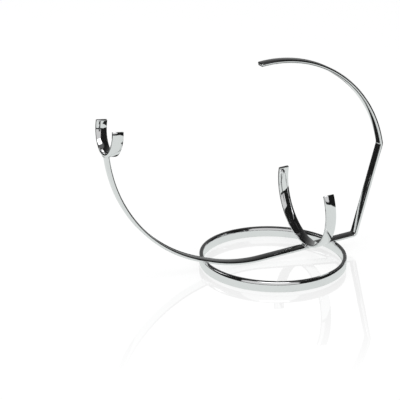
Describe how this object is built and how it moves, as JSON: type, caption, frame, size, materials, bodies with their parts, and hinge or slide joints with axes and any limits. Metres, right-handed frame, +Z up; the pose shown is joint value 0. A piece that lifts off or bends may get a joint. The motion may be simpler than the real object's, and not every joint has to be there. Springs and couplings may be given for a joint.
{
  "type": "wine rack",
  "caption": "Chromed table stand for a wine bottle lying at a slant: ring foot, one bent flat bar with a handle arc, and rolled cradles for body and neck.",
  "frame": {"origin": "on the floor, halfway along the rack's length and level with the base ring's centre", "axes": "+Z up, +X from the neck cradle towards the handle, +Y from the side nearer the ring's centre across the bar"},
  "size_m": [0.246, 0.121, 0.1705],
  "materials": {
    "chrome": "polished"
  },
  "bodies": {
    "root": {"base_ring": "chrome", "bent_bar": "chrome", "neck_cradle": "chrome", "body_cradle": "chrome", "neck_weld": "chrome", "body_weld": "chrome", "left_ring_weld": "chrome", "right_ring_weld": "chrome"}
  },
  "joints": []
}
